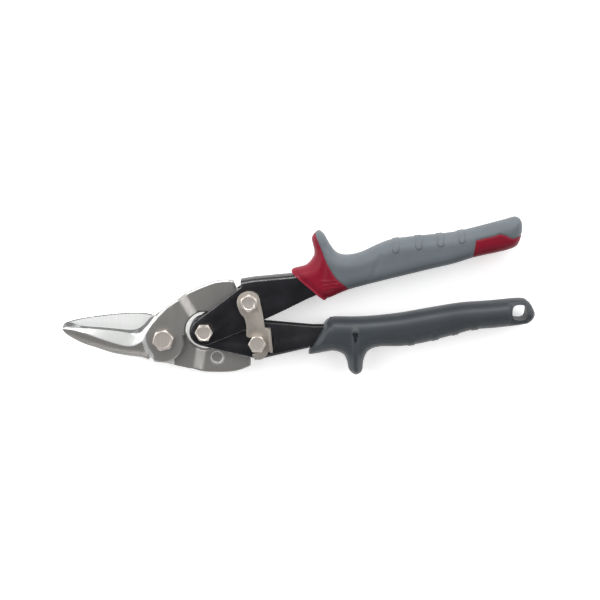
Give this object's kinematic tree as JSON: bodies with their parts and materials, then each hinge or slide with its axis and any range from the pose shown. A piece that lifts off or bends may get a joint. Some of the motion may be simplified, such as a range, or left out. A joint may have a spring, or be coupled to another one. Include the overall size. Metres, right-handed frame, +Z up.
{
  "type": "aviation snips",
  "caption": "Compound-lever sheet-metal snips: two forged blades, two pressed steel handles with moulded grips, a return spring and a thumb latch.",
  "frame": {"origin": "middle of the bounding box in plan, on the surface that the snips lie on", "axes": "+Z up out of the surface, through every pivot; the jaws point to -X and the grips to +X; the upper handle is on the +Y side"},
  "size_m": [0.2508, 0.0844, 0.0231],
  "materials": {
    "blade_steel": "ground, brushed",
    "bolt_steel": "satin nickel plate",
    "latch_steel": "tumbled, satin",
    "spring_steel": "drawn wire",
    "handle_black": "gloss black",
    "grip_grey": "moulded, fine texture",
    "grip_red": "moulded, fine texture",
    "grip_dark": "moulded, satin"
  },
  "bodies": {
    "lower_arm": {"lower_handle": "handle_black", "lower_grip": "grip_dark", "lower_link_bolt": "bolt_steel", "lower_link_nut": "bolt_steel", "handle_bolt": "bolt_steel", "handle_nut": "bolt_steel", "handle_sleeve": "bolt_steel", "spring_coil": "spring_steel"},
    "upper_arm": {"upper_handle": "handle_black", "upper_grip": "grip_grey", "upper_grip_guard": "grip_red", "upper_grip_insert": "grip_red", "upper_link_bolt": "bolt_steel", "upper_link_nut": "bolt_steel", "upper_link_spacers": "bolt_steel", "spring_leg": "spring_steel"},
    "rear_jaw": {"rear_blade": "blade_steel"},
    "front_jaw": {"front_blade": "blade_steel", "pivot_bolt": "bolt_steel", "pivot_nut": "bolt_steel", "pivot_washer": "bolt_steel"},
    "latch_carrier": {"latch_washer": "bolt_steel"},
    "latch_arm": {"latch": "latch_steel"}
  },
  "joints": [
    {"name": "handle_hinge", "type": "hinge", "parent": "lower_arm", "child": "upper_arm", "pos_m": [-0.04965, -0.01835, 0.0105], "axis": [0, 0, 1], "range_deg": [0, 42]},
    {"name": "lower_link_pivot", "type": "hinge", "parent": "lower_arm", "child": "rear_jaw", "pos_m": [-0.02152, -0.02401, 0.0105], "axis": [0, 0, 1], "range_deg": [-1, 11.3]},
    {"name": "jaw_pivot", "type": "hinge", "parent": "rear_jaw", "child": "front_jaw", "pos_m": [-0.0714, -0.0227, 0.0105], "axis": [0, 0, 1], "range_deg": [-1, 22.5]},
    {"name": "latch_release", "type": "hinge", "parent": "upper_arm", "child": "latch_carrier", "pos_m": [-0.02585, -0.00232, 0.0175], "axis": [0, 0, 1], "range_deg": [-1, 43]},
    {"name": "latch_swing", "type": "hinge", "parent": "latch_carrier", "child": "latch_arm", "pos_m": [-0.02585, -0.00232, 0.0185], "axis": [0, 0, 1], "range_deg": [0, 35]}
  ],
  "couplings": [
    {"joint": "lower_link_pivot", "follows": "handle_hinge", "ratio": 0.2442},
    {"joint": "jaw_pivot", "follows": "handle_hinge", "ratio": 0.5121},
    {"joint": "latch_release", "follows": "handle_hinge", "ratio": 1}
  ]
}
